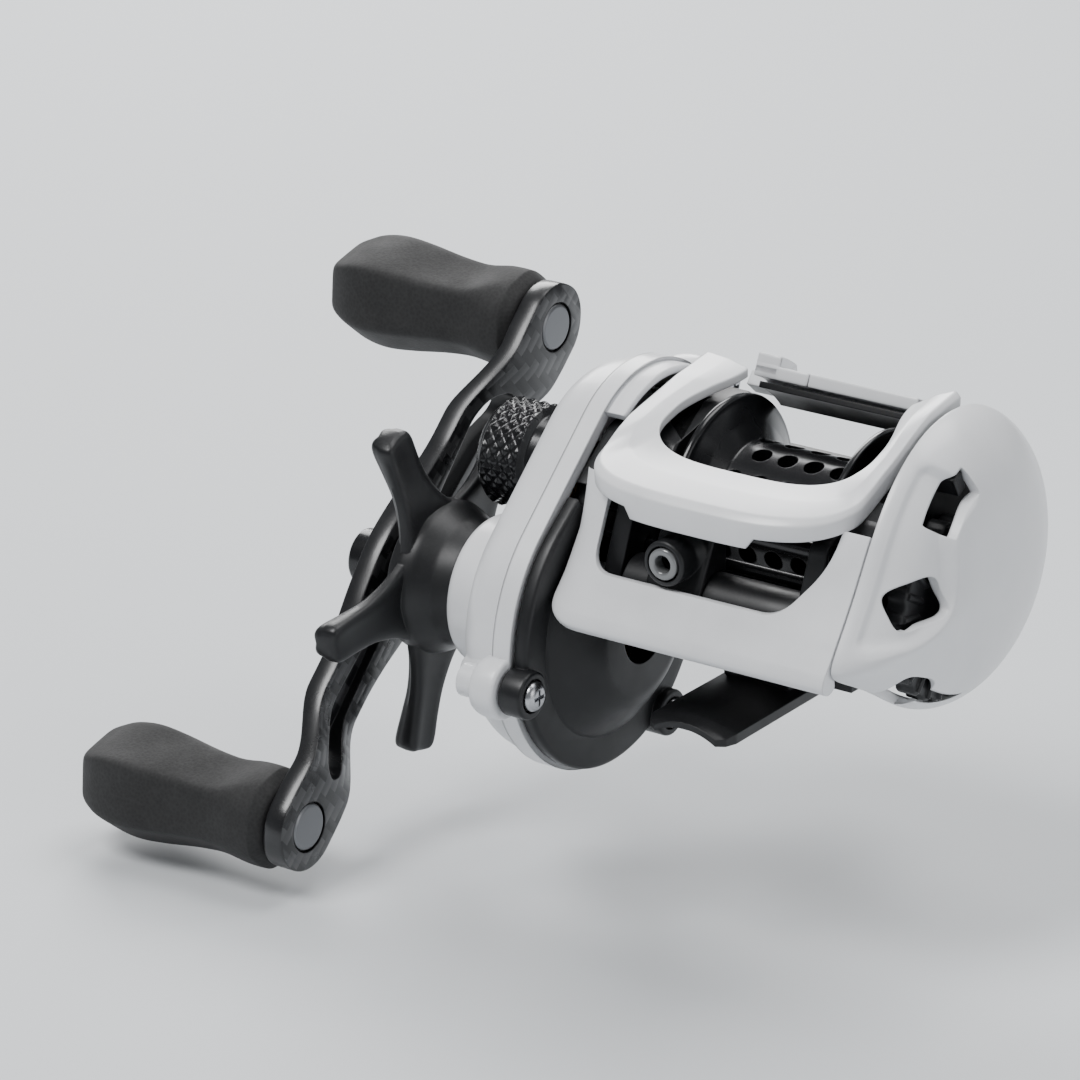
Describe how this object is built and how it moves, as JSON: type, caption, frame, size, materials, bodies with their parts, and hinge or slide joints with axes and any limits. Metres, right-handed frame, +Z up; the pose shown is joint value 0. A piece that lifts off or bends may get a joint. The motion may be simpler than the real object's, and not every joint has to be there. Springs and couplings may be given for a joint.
{
  "type": "baitcasting reel",
  "caption": "Low-profile fishing reel with a U-shaped hood round its spool, a twin-paddle crank handle, a star drag wheel, a level wind in a front mouth and a foot.",
  "frame": {"origin": "centre of the underside of the foot's flat middle strip", "axes": "+X towards the palm side plate along the spool axis, -Y towards the rod tip, +Z up from the foot"},
  "size_m": [0.1267, 0.0826, 0.0756],
  "materials": {
    "white_paint": "satin white paint",
    "black_frame": "matt black anodised",
    "black_gloss": "glossy black anodised",
    "steel": "ground",
    "grey_metal": "machined",
    "brass": "machined",
    "carbon": "satin carbon fibre",
    "eva_foam": "matt closed-cell foam",
    "ceramic": "polished",
    "nylon": "moulded"
  },
  "bodies": {
    "reel_body": {"frame": "black_frame", "reel_foot": "black_frame", "foot_screw_front": "steel", "foot_screw_rear": "steel", "hood_cover": "white_paint", "front_jaw": "white_paint", "gear_cover": "white_paint", "cover_screw_front": "steel", "cover_screw_low": "steel", "cover_screw_rear": "steel", "drive_shaft_bearing": "steel", "one_way_bearing": "steel", "pinion_bearing": "steel", "cast_bearing": "steel", "upper_guide_rod": "black_gloss", "lower_guide_rod": "black_gloss", "worm_tube": "black_frame"},
    "level_wind": {"line_guide_carriage": "black_frame", "line_guide_insert": "ceramic", "pawl": "brass", "pawl_cap": "grey_metal"},
    "worm": {"worm_shaft": "steel", "worm_gear": "nylon"},
    "handle": {"drive_shaft": "steel", "worm_drive_gear": "nylon", "drive_gear": "brass", "drag_washer": "carbon", "drag_plate": "steel", "clutch_sleeve": "steel", "spring_washer_inner": "steel", "spring_washer_outer": "steel", "arm_spacer": "black_frame", "handle_arm": "carbon", "handle_nut": "black_gloss", "knob_post_upper": "grey_metal", "knob_post_lower": "grey_metal"},
    "star_wheel": {"star_drag": "black_frame", "star_nut": "brass"},
    "upper_knob": {"knob_upper": "eva_foam", "knob_bush_upper": "brass"},
    "lower_knob": {"knob_lower": "eva_foam", "knob_bush_lower": "brass"},
    "spool_group": {"spool": "black_gloss", "spool_shaft": "steel", "brake_rotor": "grey_metal"},
    "clutch": {"clutch_yoke": "nylon"},
    "pinion": {"pinion_gear": "brass"},
    "cast_control": {"cast_control_knob": "black_gloss", "cast_control_shim": "brass"},
    "thumb_release": {"thumb_bar": "white_paint", "thumb_bar_carrier": "black_frame"},
    "side_plate": {"palm_cover": "white_paint", "palm_plate": "black_frame", "spool_bearing": "steel", "magnet_ring": "grey_metal"},
    "dial": {"brake_dial": "black_frame"},
    "lever": {"lock_lever": "black_frame"}
  },
  "joints": [
    {"name": "handle_spin", "type": "hinge", "parent": "reel_body", "child": "handle", "pos_m": [-0.06, -0.0122, 0.00506], "axis": [1, 0, 0], "continuous": true},
    {"name": "star_drag_turn", "type": "hinge", "parent": "handle", "child": "star_wheel", "pos_m": [-0.06, -0.0122, 0.00506], "axis": [1, 0, 0], "range_deg": [-180, 180]},
    {"name": "knob_upper_spin", "type": "hinge", "parent": "handle", "child": "upper_knob", "pos_m": [-0.06, 0.01873, 0.0342], "axis": [1, 0, 0], "continuous": true},
    {"name": "knob_lower_spin", "type": "hinge", "parent": "handle", "child": "lower_knob", "pos_m": [-0.06, -0.04313, -0.02409], "axis": [1, 0, 0], "continuous": true},
    {"name": "spool_spin", "type": "hinge", "parent": "reel_body", "child": "spool_group", "pos_m": [0, 0, 0.0215], "axis": [1, 0, 0], "continuous": true},
    {"name": "clutch_slide", "type": "slide", "parent": "reel_body", "child": "clutch", "axis": [-1, 0, 0], "range_m": [0, 0.0018]},
    {"name": "pinion_spin", "type": "hinge", "parent": "clutch", "child": "pinion", "pos_m": [-0.0317, 0, 0.0215], "axis": [1, 0, 0], "continuous": true},
    {"name": "worm_spin", "type": "hinge", "parent": "reel_body", "child": "worm", "pos_m": [0, -0.0215, 0.01618], "axis": [1, 0, 0], "continuous": true},
    {"name": "line_guide_slide", "type": "slide", "parent": "reel_body", "child": "level_wind", "axis": [1, 0, 0], "range_m": [-0.0042, 0.0142]},
    {"name": "cast_control_turn", "type": "hinge", "parent": "reel_body", "child": "cast_control", "pos_m": [-0.046, 0, 0.0215], "axis": [1, 0, 0], "range_deg": [-180, 180]},
    {"name": "thumb_bar_press", "type": "slide", "parent": "reel_body", "child": "thumb_release", "axis": [0, 0.766, -0.6428], "range_m": [0, 0.0045]},
    {"name": "side_plate_release", "type": "slide", "parent": "reel_body", "child": "side_plate", "axis": [1, 0, 0], "range_m": [0, 0.03]},
    {"name": "brake_dial_turn", "type": "hinge", "parent": "side_plate", "child": "dial", "pos_m": [0.026, -0.0065, 0.0165], "axis": [1, 0, 0], "range_deg": [-150, 150]},
    {"name": "lock_lever_turn", "type": "hinge", "parent": "side_plate", "child": "lever", "pos_m": [0.024, 0, 0.0215], "axis": [1, 0, 0], "range_deg": [0, 24]}
  ],
  "couplings": [
    {"joint": "spool_spin", "follows": "handle_spin", "ratio": -8.1},
    {"joint": "pinion_spin", "follows": "handle_spin", "ratio": -8.1},
    {"joint": "worm_spin", "follows": "handle_spin", "ratio": -1.9},
    {"joint": "clutch_slide", "follows": "thumb_bar_press", "ratio": 0.4}
  ]
}
